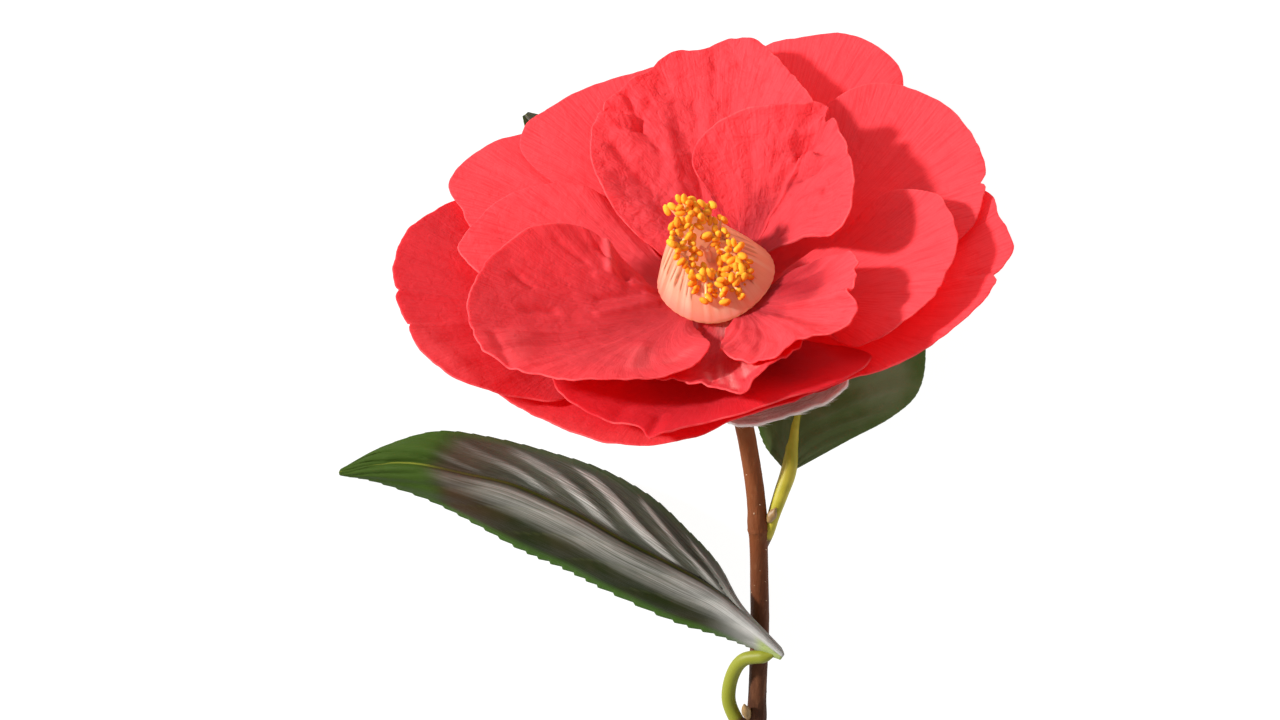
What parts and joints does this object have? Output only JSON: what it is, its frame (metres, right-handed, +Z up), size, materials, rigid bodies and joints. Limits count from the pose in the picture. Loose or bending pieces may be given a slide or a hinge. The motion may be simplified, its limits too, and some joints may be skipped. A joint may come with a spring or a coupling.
{
  "type": "camellia flower",
  "caption": "Cut camellia in full bloom: loose red ruffled petals round a cup of joined peach filaments with yellow anthers, silky sepals, brown twig and glossy toothed leaves, lying down.",
  "frame": {"origin": "centre of the bounding box's foot, on the surface that the spray lies on", "axes": "+Z up from the surface, +Y along the twig from its cut end towards the flower, +X to the flower's right when it is seen from above with the twig at the bottom"},
  "size_m": [0.11, 0.1314, 0.0726],
  "materials": {
    "petal": "soft matt red petal with fine radial veins and a faint pink bloom",
    "sepal_silky": "brown-pink scale covered in silky silver hairs",
    "sepal": "olive-brown scale with a short silky down",
    "receptacle": "fleshy knob, pink-green, satin",
    "stamens": "pale peach joined filaments, pinker at the foot, with powdery orange-yellow anthers",
    "pistil": "pale peach, satin",
    "twig_bark": "smooth reddish-brown young bark with fine pale pores",
    "leaf": "glossy dark green leather-like leaf, paler midrib and underside"
  },
  "bodies": {
    "root": {"petal_01": "petal", "petal_02": "petal", "petal_03": "petal", "petal_04": "petal", "petal_05": "petal", "petal_06": "petal", "petal_07": "petal", "petal_08": "petal", "petal_09": "petal", "petal_10": "petal", "petal_11": "petal", "petal_12": "petal", "petal_13": "petal", "petal_14": "petal", "petal_15": "petal", "sepal_1": "sepal_silky", "sepal_2": "sepal", "sepal_3": "sepal", "sepal_4": "sepal", "sepal_5": "sepal", "receptacle": "receptacle", "stamen_column": "stamens", "pistil": "pistil", "twig": "twig_bark", "leaf_left": "leaf", "leaf_right": "leaf", "leaf_back": "leaf"}
  },
  "joints": []
}
